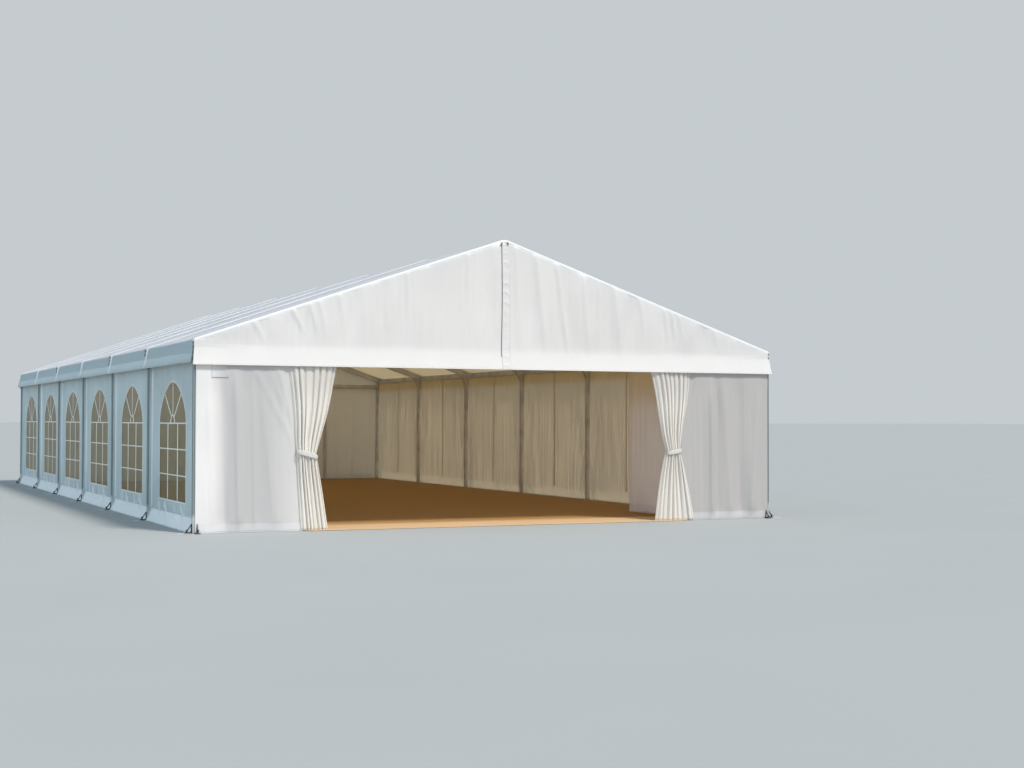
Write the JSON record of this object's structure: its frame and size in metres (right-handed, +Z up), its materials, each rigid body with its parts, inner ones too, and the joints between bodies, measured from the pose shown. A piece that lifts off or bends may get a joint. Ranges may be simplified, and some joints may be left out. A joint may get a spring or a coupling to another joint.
{
  "type": "clear-span frame marquee tent",
  "caption": "Long white frame marquee with a pitched roof, arched clear windows down one side, an open curtained front gable and coir matting.",
  "frame": {"origin": "centre of the plan at ground level", "axes": "+Z up, +Y from the open front gable towards the closed back gable, +X to the right as seen from the front"},
  "size_m": [9.2, 18.2606, 4.11],
  "materials": {
    "wall_cloth": "satin coated cloth, white",
    "roof_cloth": "satin coated cloth, white",
    "curtain_cloth": "matt woven cloth, ivory",
    "window_film": "clear flexible film, gloss",
    "frame_metal": "mill finish extrusion",
    "matting": "coarse coir matting, matt"
  },
  "bodies": {
    "root": {"portal_frame_1": "frame_metal", "portal_frame_2": "frame_metal", "portal_frame_3": "frame_metal", "portal_frame_4": "frame_metal", "portal_frame_5": "frame_metal", "portal_frame_6": "frame_metal", "portal_frame_7": "frame_metal", "front_gable_frame": "frame_metal", "back_gable_frame": "frame_metal", "roof_sheet_1": "roof_cloth", "roof_sheet_2": "roof_cloth", "roof_sheet_3": "roof_cloth", "roof_sheet_4": "roof_cloth", "roof_sheet_5": "roof_cloth", "roof_sheet_6": "roof_cloth", "left_wall_1": "wall_cloth", "left_wall_2": "wall_cloth", "left_wall_3": "wall_cloth", "left_wall_4": "wall_cloth", "left_wall_5": "wall_cloth", "left_wall_6": "wall_cloth", "left_window_1": "window_film", "left_window_2": "window_film", "left_window_3": "window_film", "left_window_4": "window_film", "left_window_5": "window_film", "left_window_6": "window_film", "right_wall_1": "wall_cloth", "right_wall_2": "wall_cloth", "right_wall_3": "wall_cloth", "right_wall_4": "wall_cloth", "right_wall_5": "wall_cloth", "right_wall_6": "wall_cloth", "front_gable_left": "wall_cloth", "front_gable_right": "wall_cloth", "back_gable_left": "wall_cloth", "back_gable_right": "wall_cloth", "front_wall_left": "wall_cloth", "front_wall_right": "wall_cloth", "back_wall_left": "wall_cloth", "back_wall_middle_left": "wall_cloth", "back_wall_middle_right": "wall_cloth", "back_wall_right": "wall_cloth", "front_curtain_left": "curtain_cloth", "front_curtain_right": "curtain_cloth", "folded_back_sheet": "wall_cloth", "floor_matting": "matting"}
  },
  "joints": []
}
